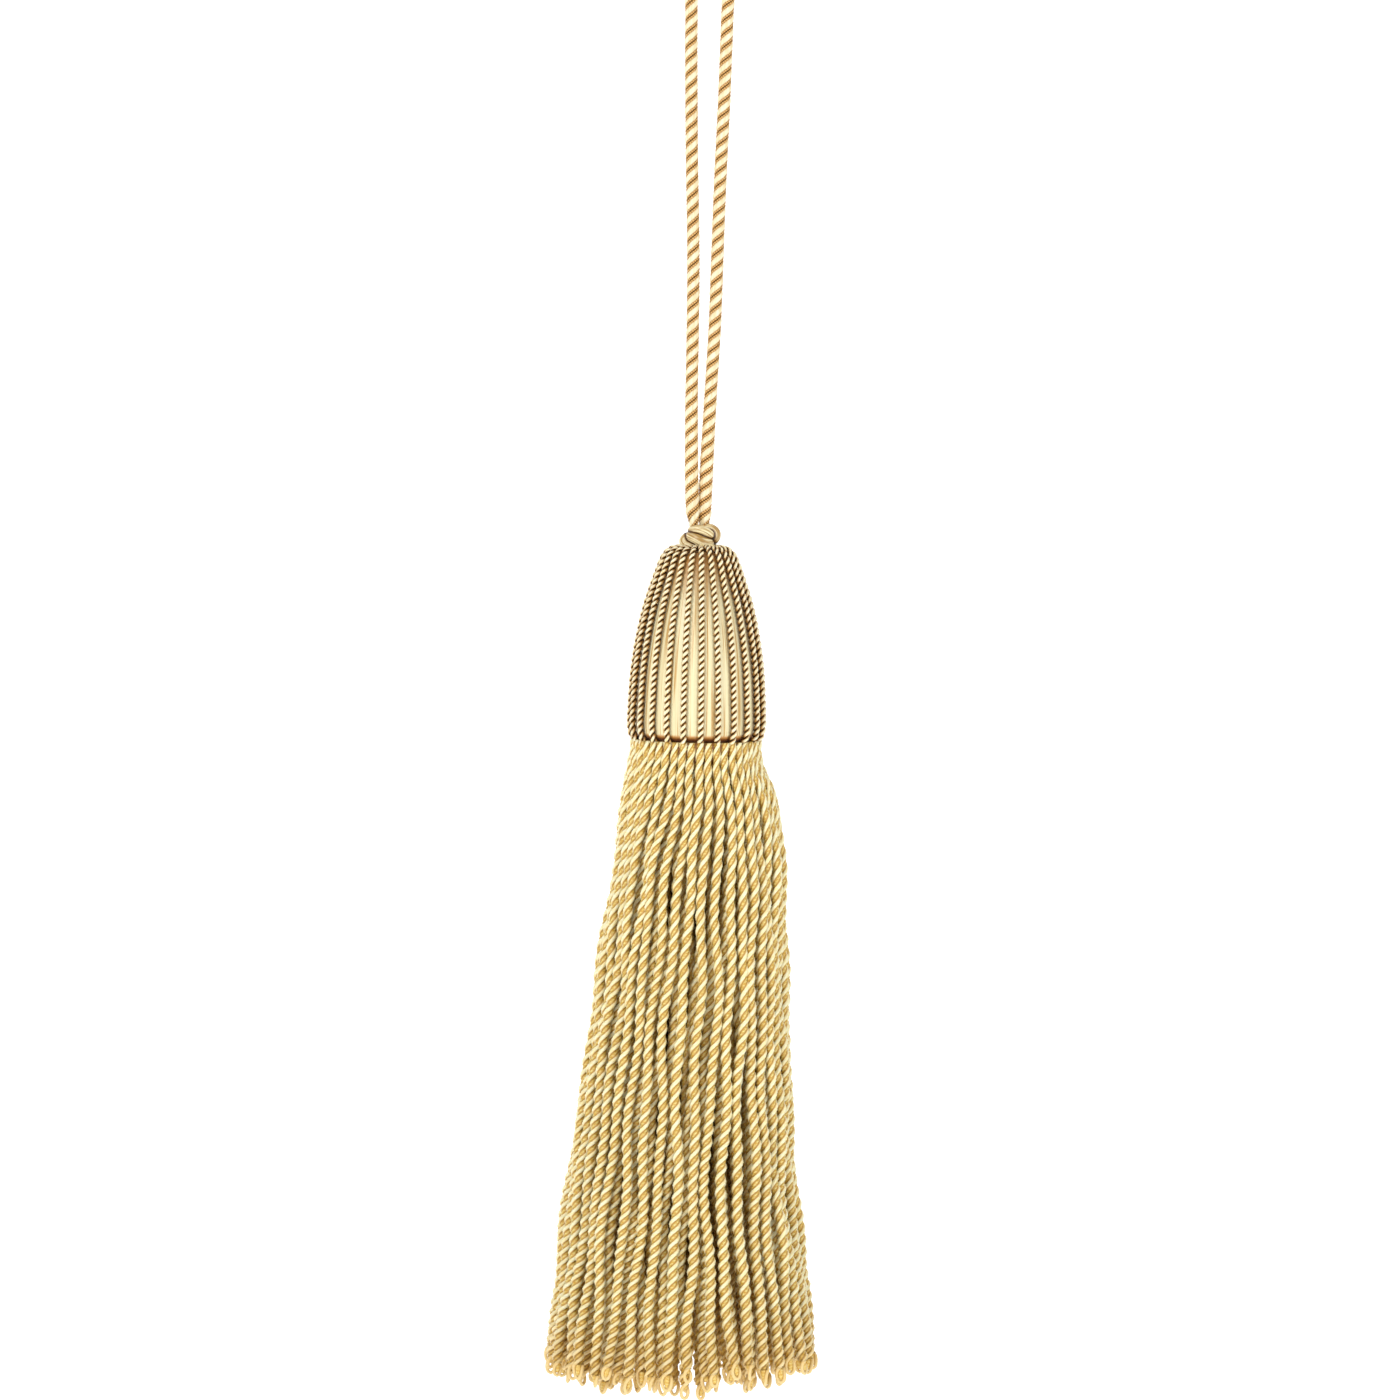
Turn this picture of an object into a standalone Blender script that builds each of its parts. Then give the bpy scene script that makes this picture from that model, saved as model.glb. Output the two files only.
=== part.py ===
"""A silk tassel that hangs by a looped cord.

A four-ply twisted cord is doubled into a loop and knotted on the crown of a bell-shaped head. The head is a turned
mould under satin, with twenty-four raised cords running from the knot to its bottom edge. Below it hangs a skirt of
bullion strands, whose roots are fused into one heading.

The origin is the hang point, inside the top of the cord's loop. +Z is up, and the tassel faces -Y.
"""

import math
import random

import bmesh
import bpy
import numpy as np

MM = 0.001
GAP = 0.3  # mm, between pieces that touch in the real tassel

# Hanging cord, mm
CORD_DIAMETER = 3.0
CORD_PITCH = 6.5  # one full turn of a ply
CORD_PLIES = 4
CORD_STEPS_A_TURN = 10

# The cord's centreline as x, y, z in mm: up the right leg, round the top of the loop and down the left leg.
CORD_ROUTE = (
    (-1.38, 0.85, -139.7),
    (-1.25, 0.85, -137.0),
    (-0.92, 0.70, -130.2),
    (-0.52, 0.50, -122.2),
    (0.09, 0.25, -111.3),
    (1.16, 0.0, -93.6),
    (1.63, 0.0, -81.3),
    (2.05, 0.0, -69.3),
    (2.55, 0.0, -57.0),
    (3.30, 0.0, -42.0),
    (3.85, 0.0, -28.2),
    (4.41, 0.0, -16.2),
    (5.50, 0.0, -9.6),
    (6.10, 0.0, -4.6),
    (5.28, 0.0, -1.55),
    (3.05, 0.0, 0.68),
    (0.0, 0.0, 1.50),
    (-3.05, 0.0, 0.68),
    (-5.28, 0.0, -1.55),
    (-6.10, 0.0, -4.6),
    (-5.50, 0.0, -9.6),
    (-4.45, 0.0, -16.2),
    (-4.36, 0.0, -28.2),
    (-4.30, 0.0, -42.0),
    (-4.17, 0.0, -57.0),
    (-3.94, 0.0, -69.3),
    (-3.87, 0.0, -81.3),
    (-4.01, 0.0, -93.6),
    (-4.30, -0.25, -111.3),
    (-4.32, -0.50, -122.2),
    (-4.27, -0.70, -130.2),
    (-4.04, -0.85, -137.0),
    (-3.82, -0.85, -139.3),
)

# Knot, mm
KNOT_CENTRE = (-2.31, 0.0, -143.0)
KNOT_BAND = 2.5  # thickness of the cord that wraps it
KNOT_TURN_RADIUS = 2.7
KNOT_TURN_PITCH = 2.4
KNOT_TURNS = 1.5
KNOT_CORE = (3.3, 3.2, 2.6)  # half-sizes
# The loop that stands out at the knot's right, as x, y, z; the left one is the same turned half round.
KNOT_LOBE = (
    (0.8, 1.6, 1.3),
    (2.3, 0.5, 1.75),
    (3.5, -0.3, 1.35),
    (3.7, -0.4, 0.45),
    (2.9, 0.2, -0.35),
    (1.4, 1.2, -0.6),
)

# Head, mm; its axis leans a little, so that the bottom lies to the left
CROWN = (-2.48, 0.0, -144.6)
HEAD_LEAN = math.radians(0.9)
# The mould's outline as drop below the crown, radius
MOULD_PROFILE = (
    (1.7, 5.0),
    (2.1, 6.4),
    (3.2, 7.4),
    (4.6, 8.0),
    (9.7, 9.8),
    (15.1, 11.5),
    (23.0, 13.2),
    (29.5, 14.1),
    (36.9, 14.6),
    (43.2, 14.7),
    (45.0, 14.2),
    (45.7, 13.2),
)
MOULD_SEGMENTS = 36
HEAD_CORDS = 24
HEAD_CORD_DIAMETER = 1.4
# Where a raised cord's points lie, as shares of its length
HEAD_CORD_STATIONS = (0.0, 0.05, 0.11, 0.19, 0.36, 0.58, 0.80, 0.95, 1.0)
HEAD_CORD_LOWEST = 0.55  # its line ends this far above the mould's underside
HEAD_CORD_INNER_RADIUS = 5.9  # where each cord starts, just outside the knot
HEAD_CORD_NARROW = 0.62  # its width there, as a share of its full width

# Skirt, mm
HEADING_THICK = 3.0
HEADING_RADIUS = 14.5
HEADING_SEGMENTS = 48
# A strand's width from corner to corner, as share of its length, width; they are squeezed at the root
STRAND_WIDTHS = ((0.0, 1.66), (0.02, 1.66), (0.09, 2.0), (0.2, 2.25), (0.44, 2.5), (1.0, 2.8))
SKIRT_LENGTH = 154.5
END_SCATTER = 3.5
OUTER_END_RISE = 2.0  # the strands at the rim end this much higher
SIDE_END_RISE = 2.0  # and those at its two sides this much more
END_TILT = 1.2  # it ends lower at the left than at the right
# Rings of strands as count, root radius, share of the skirt's radius higher up, and at the end
STRAND_RINGS = (
    (46, 14.6, 1.0, 1.0),
    (38, 12.4, 0.85, 0.92),
    (30, 10.3, 0.69, 0.79),
    (20, 8.1, 0.52, 0.64),
    (12, 5.6, 0.34, 0.46),
)
# The skirt's outline as drop below the head, sideways shift of its centre, half-width
SKIRT_OUTLINE = (
    (0.0, -0.4, 15.7),
    (4.0, -0.6, 16.3),
    (10.0, 0.6, 17.6),
    (14.7, 1.0, 18.4),
    (26.0, 1.2, 20.2),
    (41.8, 0.7, 21.5),
    (64.2, -0.3, 23.4),
    (89.7, -1.1, 26.1),
    (109.0, -1.8, 27.6),
    (125.5, -1.8, 29.6),
    (141.8, -1.5, 31.8),
    (153.8, -1.3, 32.7),
)
# Where a strand's points lie, as shares of its drop
STRAND_STATIONS = (0.012, 0.04, 0.09, 0.20, 0.44, 0.71, 1.0)
SPREAD_DROP = 10.0  # by here a strand has moved from its root ring to its place in the outline
FAN_ANGLE = math.radians(9)
TURN_ANGLE = math.radians(-9)
FAN_DROP = 30.0
WOBBLE = 0.8
SEED = 7


def material(name, colour, roughness, metallic=0.0):
    made = bpy.data.materials.new(name)
    made.use_nodes = True
    shader = made.node_tree.nodes["Principled BSDF"]
    shader.inputs["Base Color"].default_value = (*colour, 1.0)
    shader.inputs["Roughness"].default_value = roughness
    shader.inputs["Metallic"].default_value = metallic
    return made


def link(name, mesh, finish, parent=None):
    made = bpy.data.objects.new(name, mesh)
    bpy.context.collection.objects.link(made)
    if finish:
        mesh.materials.append(finish)
    made.parent = parent
    return made


def as_guide(made):
    made.hide_render = True
    made.display_type = "WIRE"
    return made


def unite(made, other):
    union = made.modifiers.new("union with " + other.name, "BOOLEAN")
    union.operation = "UNION"
    union.object = other
    union.use_self = True


def spaced(line, step):
    """The line again, with points about a step apart."""
    lengths = np.linalg.norm(np.diff(line, axis=0), axis=1)
    along = np.concatenate([[0.0], np.cumsum(lengths)])
    at = np.linspace(0.0, along[-1], max(2, round(along[-1] / step) + 1))
    return np.stack([np.interp(at, along, line[:, axis]) for axis in range(line.shape[1])], axis=1)


def smooth(points, step):
    """A centripetal Catmull-Rom curve through the points, as points about a step apart."""
    p = np.array(points, float)
    p = np.vstack([2 * p[0] - p[1], p, 2 * p[-1] - p[-2]])
    dense = []
    for a, b, c, d in zip(p, p[1:], p[2:], p[3:]):
        t1 = np.linalg.norm(b - a) ** 0.5
        t2 = t1 + np.linalg.norm(c - b) ** 0.5
        t3 = t2 + np.linalg.norm(d - c) ** 0.5
        for t in np.linspace(t1, t2, 24, endpoint=False):
            ab = (a * (t1 - t) + b * t) / t1
            bc = (b * (t2 - t) + c * (t - t1)) / (t2 - t1)
            cd = (c * (t3 - t) + d * (t - t2)) / (t3 - t2)
            abc = (ab * (t2 - t) + bc * t) / t2
            bcd = (bc * (t3 - t) + cd * (t - t1)) / (t3 - t1)
            dense.append((abc * (t2 - t) + bcd * (t - t1)) / (t2 - t1))
    dense.append(p[-2])
    return spaced(np.array(dense), step)


def frames(line):
    """A side and an up direction at each point of a line, carried along it without twisting."""
    tangents = np.gradient(line, axis=0)
    tangents /= np.linalg.norm(tangents, axis=1)[:, None]
    axis = np.eye(3)[np.argmin(np.abs(tangents[0]))]
    sides = []
    for tangent in tangents:
        axis = axis - tangent * (axis @ tangent)
        axis = axis / np.linalg.norm(axis)
        sides.append(axis)
    sides = np.array(sides)
    return sides, np.cross(tangents, sides)


def tube_mesh(name, lines, width, sides, turn=None):
    """One mesh with a capped tube along each line; turn gives the section's angle at a length along it."""
    points, faces = [], []
    for line in lines:
        line = np.asarray(line, float)
        first = len(points)
        across, up = frames(line)
        along = np.concatenate([[0.0], np.cumsum(np.linalg.norm(np.diff(line, axis=0), axis=1))])
        for k, centre in enumerate(line):
            radius = width(along[k] / along[-1]) / 2
            start = turn(along[k]) if turn else 0.0
            for i in range(sides):
                angle = start + i * math.tau / sides
                off = across[k] * math.cos(angle) + up[k] * math.sin(angle)
                points.append((centre + off * radius) * MM)
        for k in range(len(line) - 1):
            for i in range(sides):
                j = (i + 1) % sides
                low, high = first + k * sides, first + (k + 1) * sides
                faces.append((low + i, low + j, high + j, high + i))
        last = first + (len(line) - 1) * sides
        faces.append(tuple(first + i for i in reversed(range(sides))))
        faces.append(tuple(last + i for i in range(sides)))
    mesh = bpy.data.meshes.new(name)
    mesh.from_pydata([tuple(p) for p in points], [], faces)
    mesh.update()
    return mesh


def turned_mesh(name, profile, segments):
    """A solid of revolution about Z, from rows of drop and radius; both ends are closed at the axis."""
    shape = bmesh.new()
    rows = [(profile[0][0], 0.0), *profile, (profile[-1][0], 0.0)]
    corners = [shape.verts.new((radius * MM, 0.0, -drop * MM)) for drop, radius in rows]
    edges = [shape.edges.new(pair) for pair in zip(corners, corners[1:])]
    bmesh.ops.spin(
        shape,
        geom=corners + edges,
        cent=(0.0, 0.0, 0.0),
        axis=(0.0, 0.0, 1.0),
        angle=math.tau,
        steps=segments,
        use_duplicate=False,
    )
    bmesh.ops.remove_doubles(shape, verts=shape.verts, dist=0.001 * MM)
    bmesh.ops.recalc_face_normals(shape, faces=shape.faces)
    mesh = bpy.data.meshes.new(name)
    shape.to_mesh(mesh)
    shape.free()
    mesh.shade_smooth()
    return mesh


def hanging_cord(finish):
    """The loop: its section has a corner for each ply, turned along the route as the plies are."""
    line = smooth(CORD_ROUTE, CORD_PITCH / CORD_STEPS_A_TURN)
    mesh = tube_mesh(
        "hanging_cord",
        [line],
        lambda share: CORD_DIAMETER,
        CORD_PLIES,
        lambda along: math.tau * along / CORD_PITCH,
    )
    return link("hanging_cord", mesh, finish)


def knot(finish):
    """A core with a cord wrapped twice round it, sloping down to the right in front, and a loop at each side."""
    turns = []
    for step in range(int(24 * KNOT_TURNS) + 1):
        angle = math.pi + math.tau * step / 24
        rise = KNOT_TURN_PITCH * (KNOT_TURNS / 2 - step / 24)
        turns.append((KNOT_TURN_RADIUS * math.cos(angle), KNOT_TURN_RADIUS * math.sin(angle), rise))
    right = smooth(KNOT_LOBE, KNOT_BAND / 2)
    left = right * np.array([-1.0, 1.0, -1.0])
    core = bmesh.new()
    bmesh.ops.create_uvsphere(core, u_segments=12, v_segments=8, radius=1.0)
    bmesh.ops.scale(core, vec=[half * MM for half in KNOT_CORE], verts=core.verts)
    mesh = bpy.data.meshes.new("knot")
    core.to_mesh(mesh)
    core.free()
    made = link("knot", mesh, finish)
    made.location = [value * MM for value in KNOT_CENTRE]
    for name, line in (("knot wrap", np.array(turns)[::2]), ("right loop", right), ("left loop", left)):
        band = tube_mesh(name, [line], lambda share: KNOT_BAND, 8)
        unite(made, as_guide(link(name, band, None, made)))
    return made


def head_mould(finish, axis):
    smooth_profile = smooth(MOULD_PROFILE, 3.4)
    mesh = turned_mesh("head_mould", [tuple(row) for row in smooth_profile], MOULD_SEGMENTS)
    return link("head_mould", mesh, finish, axis)


def head_cord_line():
    """One raised cord's centreline in the plane of its angle, as radius and height, just off the mould."""
    profile = np.array(MOULD_PROFILE, float)
    outline = smooth(np.stack([profile[:, 1], -profile[:, 0]], axis=1), 0.5)
    run = np.gradient(outline, axis=0)
    run /= np.linalg.norm(run, axis=1)[:, None]
    outward = np.stack([-run[:, 1], run[:, 0]], axis=1)
    line = outline + outward * (GAP + HEAD_CORD_DIAMETER / 2 + 0.05)
    line = line[(line[:, 0] >= HEAD_CORD_INNER_RADIUS) & (outline[:, 1] > HEAD_CORD_LOWEST - MOULD_PROFILE[-1][0])]
    along = np.concatenate([[0.0], np.cumsum(np.linalg.norm(np.diff(line, axis=0), axis=1))])
    at = np.array(HEAD_CORD_STATIONS) * along[-1]
    return np.stack([np.interp(at, along, line[:, axis]) for axis in (0, 1)], axis=1)


def head_cords(finish, axis):
    line = head_cord_line()
    made = []
    for number in range(HEAD_CORDS):
        angle = math.tau * (number + 0.25) / HEAD_CORDS
        path = [(r * math.cos(angle), r * math.sin(angle), z) for r, z in line]
        mesh = tube_mesh(
            f"head_cord_{number + 1:02d}",
            [path],
            lambda share: HEAD_CORD_DIAMETER * min(1.0, HEAD_CORD_NARROW + 2.4 * share),
            5,
        )
        made.append(link(mesh.name, mesh, finish, axis))
    return made


def outline_at(drop):
    table = np.array(SKIRT_OUTLINE)
    return [float(np.interp(drop, table[:, 0], table[:, column])) for column in (1, 2)]


def ease(share):
    share = min(1.0, max(0.0, share))
    return share * share * (3 - 2 * share)


def strand_width(share):
    table = np.array(STRAND_WIDTHS)
    return float(np.interp(share, table[:, 0], table[:, 1]))


def spread_apart(places, centre, reach, least):
    """Moves points on one level until no two are nearer than least, and none lies past the outline."""
    for _ in range(120):
        between = places[:, None] - places[None]
        far = np.linalg.norm(between, axis=2) + np.eye(len(places)) * 1000
        push = np.clip(least - far, 0.0, None) / far
        places = places + 0.5 * (between * push[:, :, None]).sum(axis=1)
        out = places - centre
        far_out = np.linalg.norm(out, axis=1)
        places = centre + out * np.minimum(1.0, reach / np.maximum(far_out, 1e-6))[:, None]
    return places


def strand_lines():
    """Each strand's centreline below the head, from its root to its end."""
    rng = random.Random(SEED)
    strands = []
    for ring, (count, root, upper, lower) in enumerate(STRAND_RINGS):
        for number in range(count):
            angle = math.tau * (number + 0.5 * (ring % 2)) / count
            rightward = math.cos(angle) * upper
            strands.append(
                {
                    "angle": angle,
                    "root": root,
                    "shares": (upper, lower),
                    "phase": (rng.uniform(0, math.tau), rng.uniform(0, math.tau)),
                    "end": SKIRT_LENGTH
                    - rng.uniform(0, END_SCATTER)
                    - OUTER_END_RISE * upper**4
                    - SIDE_END_RISE * rightward**2
                    - END_TILT * rightward,
                }
            )
    levels = []
    for station in STRAND_STATIONS:
        drop = station * SKIRT_LENGTH
        shift, half = outline_at(drop)
        spread = ease((drop - 2.0) / SPREAD_DROP)
        width = strand_width(station)
        reach = half - width / 2
        places = []
        for strand in strands:
            fan = ease(drop / FAN_DROP) * (TURN_ANGLE + FAN_ANGLE * math.cos(strand["angle"]))
            upper, lower = strand["shares"]
            share = upper + (lower - upper) * ease(station)
            radius = strand["root"] * (1 - spread) + share * reach * spread
            wobble = WOBBLE * ease(drop / 60)
            angle = strand["angle"] + fan
            places.append(
                (
                    shift * spread + radius * math.cos(angle) + wobble * math.sin(strand["phase"][0] + 9 * station),
                    radius * math.sin(angle) + wobble * math.sin(strand["phase"][1] + 7 * station),
                )
            )
        centre = np.array([shift * spread, 0.0])
        levels.append(spread_apart(np.array(places), centre, max(reach, STRAND_RINGS[0][1]), width + GAP))
    lines = []
    for number, strand in enumerate(strands):
        end = strand["end"] / SKIRT_LENGTH
        lines.append([(*levels[k][number], -station * SKIRT_LENGTH * (end if station > 0.15 else 1.0))
                      for k, station in enumerate(STRAND_STATIONS)])
    return lines


def skirt(finish, axis):
    """The heading, with every strand's root fused into it."""
    profile = ((GAP, HEADING_RADIUS), (GAP + HEADING_THICK, HEADING_RADIUS))
    made = link("skirt", turned_mesh("skirt", profile, HEADING_SEGMENTS), finish, axis)
    made.location.z = -MOULD_PROFILE[-1][0] * MM
    strands = tube_mesh("strands", strand_lines(), strand_width, 4)
    unite(made, as_guide(link("strands", strands, None, made)))
    return made


def main():
    for old in list(bpy.data.objects):
        bpy.data.objects.remove(old)
    cord_silk = material("cord silk", (0.87, 0.68, 0.40), 0.45)
    knot_silk = material("knot silk", (0.86, 0.69, 0.42), 0.4)
    satin = material("head satin", (0.86, 0.64, 0.36), 0.38)
    metal_thread = material("metallic head cord", (0.62, 0.47, 0.25), 0.35, 0.6)
    bullion = material("bullion silk", (0.87, 0.68, 0.33), 0.45)
    axis = bpy.data.objects.new("head_axis", None)
    bpy.context.collection.objects.link(axis)
    axis.location = [value * MM for value in CROWN]
    axis.rotation_euler = (0.0, HEAD_LEAN, 0.0)
    hanging_cord(cord_silk)
    knot(knot_silk)
    head_mould(satin, axis)
    head_cords(metal_thread, axis)
    skirt(bullion, axis)


main()
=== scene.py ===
import math
import random

import bpy
import numpy as np
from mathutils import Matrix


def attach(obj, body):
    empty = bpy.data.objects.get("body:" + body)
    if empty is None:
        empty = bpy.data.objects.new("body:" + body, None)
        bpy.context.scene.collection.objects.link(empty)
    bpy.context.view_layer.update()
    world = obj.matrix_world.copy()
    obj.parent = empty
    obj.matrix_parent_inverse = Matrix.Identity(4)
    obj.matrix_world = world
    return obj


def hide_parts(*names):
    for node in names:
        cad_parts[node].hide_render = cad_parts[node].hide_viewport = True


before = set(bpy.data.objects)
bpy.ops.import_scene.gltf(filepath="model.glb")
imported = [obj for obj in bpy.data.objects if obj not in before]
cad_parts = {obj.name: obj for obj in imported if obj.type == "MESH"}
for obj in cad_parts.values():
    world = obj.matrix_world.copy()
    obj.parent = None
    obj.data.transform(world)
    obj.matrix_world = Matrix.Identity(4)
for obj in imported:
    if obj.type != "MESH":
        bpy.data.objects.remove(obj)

# The visual model of a silk tassel that hangs by a looped cord, fitted over the CAD solids. The origin is
# the hang point inside the cord's loop, +Z is up and the tassel faces -Y. Sizes are in mm where no other
# unit is given.
MM = 0.001
GAP = 0.3  # between pieces that touch in a real tassel
SEED = 7
GRAIN_APART = 53.0  # from one tube's grain to the next one's, so that no two have the same streaks
GRAIN_RADIUS = 15.0  # the grain of the satin and of the heading runs round at this radius

# Camera
CAMERA_TARGET = (-2.31, 0.0, -181.4)
CAMERA_DISTANCE = 1600.0
CAMERA_ELEVATION = math.radians(3.5)
VIEW_WIDTH = 330.4  # how much the picture shows at the target
SENSOR_WIDTH = 36.0
CLIP_START = 0.01  # m

# Hanging cord: up the right leg, round the top of the loop and down the left leg. The first and last points
# are in the knot, and the rest are the solid's.
CORD_ROUTE = (
    (-1.55, 0.85, -142.2),
    (-1.38, 0.85, -139.7),
    (-1.25, 0.85, -137.0),
    (-0.92, 0.70, -130.2),
    (-0.52, 0.50, -122.2),
    (0.09, 0.25, -111.3),
    (1.16, 0.0, -93.6),
    (1.63, 0.0, -81.3),
    (2.05, 0.0, -69.3),
    (2.55, 0.0, -57.0),
    (3.30, 0.0, -42.0),
    (3.85, 0.0, -28.2),
    (4.41, 0.0, -16.2),
    (5.50, 0.0, -9.6),
    (6.10, 0.0, -4.6),
    (5.28, 0.0, -1.55),
    (3.05, 0.0, 0.68),
    (0.0, 0.0, 1.50),
    (-3.05, 0.0, 0.68),
    (-5.28, 0.0, -1.55),
    (-6.10, 0.0, -4.6),
    (-5.50, 0.0, -9.6),
    (-4.45, 0.0, -16.2),
    (-4.36, 0.0, -28.2),
    (-4.30, 0.0, -42.0),
    (-4.17, 0.0, -57.0),
    (-3.94, 0.0, -69.3),
    (-3.87, 0.0, -81.3),
    (-4.01, 0.0, -93.6),
    (-4.30, -0.25, -111.3),
    (-4.32, -0.50, -122.2),
    (-4.27, -0.70, -130.2),
    (-4.04, -0.85, -137.0),
    (-3.82, -0.85, -139.3),
    (-3.60, -0.60, -141.4),
)
CORD_PITCH = 6.47
CORD_STEP = 0.46
# Its yarns as angle in turns, distance from the centre, radius, material number
CORD_YARNS = (
    (0.0, 0.83, 0.74, 0),
    (0.5, 0.83, 0.74, 0),
    (0.18, 1.2, 0.28, 1),
    (0.32, 1.2, 0.28, 1),
    (0.68, 1.2, 0.28, 1),
    (0.82, 1.2, 0.28, 1),
)
CORD_YARN_SIDES = 10
CORD_YARN_LAY = 1.1  # how far a yarn's fibres turn in a mm
# Painted shade: a yarn is dark in its grooves below these shares of its reach
CORD_CRESTS = ((0.66, 0.8), (0.8, 0.94))  # shares of its reach where a cream and a gold yarn go light
CORD_CORE_RADIUS = 0.55
CORD_CORE_SIDES = 6
CORD_CORE_EVERY = 4  # the core takes one in this many of the cord's points
# Its size by distance from its ends: drawn in inside the knot, and fuller just above it
CORD_SIZES = ((0.0, 0.55), (2.0, 0.8), (4.5, 1.12), (14.0, 1.12), (34.0, 1.04))

# Knot
KNOT_CENTRE = (-2.31, 0.0, -143.0)
KNOT_CORE = (3.0, 2.6, 2.4)
# Its bands as half-width and the centreline's points from the knot's centre
UPPER_BAND = (
    (-2.2, 0.4, 1.4),
    (-1.6, -1.2, 1.75),
    (-0.5, -2.0, 1.95),
    (1.0, -2.1, 1.6),
    (2.2, -1.6, 0.85),
    (3.0, -0.6, 0.0),
)
LOWER_BAND = (
    (-2.4, 0.3, 0.5),
    (-1.9, -1.4, 0.2),
    (-0.8, -2.2, -0.3),
    (0.54, -2.3, -1.0),
    (1.8, -1.6, -1.25),
    (2.6, -0.2, -1.2),
)
RIGHT_LOBE = (
    (0.6, 1.4, 2.2),
    (1.7, 0.6, 2.2),
    (2.9, -0.1, 1.95),
    (3.75, -0.6, 1.1),
    (3.75, -0.8, 0.1),
    (2.9, -0.4, -0.8),
    (1.6, 0.6, -1.2),
)
LEFT_LOBE = (
    (-2.3, 0.4, 0.5),
    (-3.2, -0.3, 0.0),
    (-3.8, -0.6, -0.8),
    (-3.4, -1.0, -1.6),
    (-2.1, -1.5, -2.0),
    (-0.6, -1.4, -2.4),
    (0.6, -0.6, -2.6),
)
UPPER_BACK = ((-3.0, 0.3, -0.6), (-1.7, 2.0, 0.2), (0.2, 2.5, 0.6), (2.0, 2.0, 1.0), (3.1, 0.6, 1.5))
LOWER_BACK = ((-3.0, 0.2, -1.2), (-1.8, 1.7, -1.5), (0.3, 2.2, -1.5), (2.2, 1.4, -1.4), (3.1, 0.1, -0.9))
# Two short ends that run down from the knot into the head
RIGHT_STRAND = ((0.9, -1.2, -1.0), (1.4, -1.8, -2.0), (1.65, -1.8, -2.9), (1.8, -1.4, -4.0))
LEFT_STRAND = ((0.3, -1.6, -1.4), (0.15, -2.2, -2.3), (0.1, -2.2, -3.1), (0.1, -1.8, -4.0))
KNOT_BANDS = (
    (1.08, UPPER_BAND),
    (1.35, LOWER_BAND),
    (1.1, RIGHT_LOBE),
    (1.15, LEFT_LOBE),
    (1.2, UPPER_BACK),
    (1.3, LOWER_BACK),
    (0.85, RIGHT_STRAND),
    (0.6, LEFT_STRAND),
)
KNOT_SIDES = 40
KNOT_RIDGES = 15
KNOT_RELIEF = 0.02
KNOT_STEP = 0.25
# Painted shade: a band darkens near another band and between its ridges
KNOT_CREVICE = 0.5  # a band darkens where it is this near to another
KNOT_FURROW_TONE = 0.66  # between its ridges
KNOT_END_WIDTH = 0.72  # a band's width at its ends, as a share, and how fast it widens from there
KNOT_SWELL = 2.2
KNOT_CORE_RINGS = 13
KNOT_CORE_POLE = 0.03  # the first and last ring are this share of the way round from a pole
# The core shows only between the bands, and is painted dark as shade
KNOT_CORE_TONE = 0.1
KNOT_CORE_GRAIN = 0.5  # how much its grain changes in a mm

# Head: its axis leans a little, so that the bottom lies to the left
CROWN = (-2.48, 0.0, -144.6)
HEAD_LEAN = math.radians(0.9)
# The mould's outline as drop below the crown, radius
MOULD_PROFILE = (
    (1.7, 5.0),
    (2.1, 6.4),
    (3.2, 7.4),
    (4.6, 8.0),
    (9.7, 9.8),
    (15.1, 11.5),
    (23.0, 13.2),
    (29.5, 14.1),
    (36.9, 14.6),
    (43.2, 14.7),
    (45.0, 14.2),
    (45.7, 13.2),
)
MOULD_TOP = ((1.2, 1.2), (1.45, 3.0))  # the cover goes on in under the knot
HEAD_HEIGHT = MOULD_PROFILE[-1][0]
SATIN_COLUMNS_A_BAND = 16
SATIN_STEP = 1.1
SATIN_PUFF = 0.28  # at this radius, and less where the head is narrower
SATIN_PUFF_RADIUS = 15.0
SATIN_ROUNDNESS = 0.6  # under 1, so that a band and a ridge are rounder than a sine wave
# Painted shade beside the head cords
SATIN_EDGE_TONE = 0.72  # beside a head cord, and how fast it lightens from there
SATIN_EDGE_RISE = 3.0
FLOSS_RIDGES = 5  # in each band between two head cords
FLOSS_RELIEF = 0.045
FLOSS_DEPTHS = (0.4, 1.0)
# Painted shade in the furrows between the floss ridges
FLOSS_FURROW_TONE = 0.66
# Painted shade: the rim is browner where it turns under, and the cover near the crown, under the knot
RIM_DROP = 44.6  # the brown turned-under rim starts here, over this length
RIM_FADE = 0.5
CROWN_SHADE = 13.0  # the cover is browner above this, down to this tone at the crown
CROWN_TONE = 0.3
HEAD_CORDS = 24
HEAD_CORD_TURN = 0.25  # where the first one is, in spaces between two of them
HEAD_CORD_LOWEST = 0.45
HEAD_CORD_INNER_RADIUS = 3.1
HEAD_CORD_LIFT = 0.75  # its line is this far over the gap to the mould
HEAD_CORD_NARROW = 0.62  # its width at the top, as a share, and how fast it widens from there
HEAD_CORD_SWELL = 2.4
HEAD_CORD_PITCH = 3.14
HEAD_CORD_STEP = 0.32
HEAD_CORD_FINE_STEP = 0.2
HEAD_YARN_RADIUS = 0.42
HEAD_YARN_OFFSET = 0.41
HEAD_YARN_SIDES = 6
HEAD_YARN_LAY = 1.4
# Painted shade: a yarn is dark in its grooves below these shares of its reach, and the cords darken toward
# the satin
HEAD_CREST = (0.66, 0.92)  # shares of its reach where a yarn goes light
HEAD_TOP_LIGHT = (-0.5, 0.55)  # the cords darken toward the satin

# Skirt, with the solid's own tables
HEADING_TOP = 0.3  # the gap under the mould, where the strands' lines start
# The heading is painted at a low tone as shade under the head
HEADING_TONE = 0.5
HEADING_COLUMNS = 96
HEADING_LEAN = 7.0  # its grain leans by a radian in this drop
HEADING_GRAIN = 0.2  # how much its grain changes in a mm of height
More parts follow.
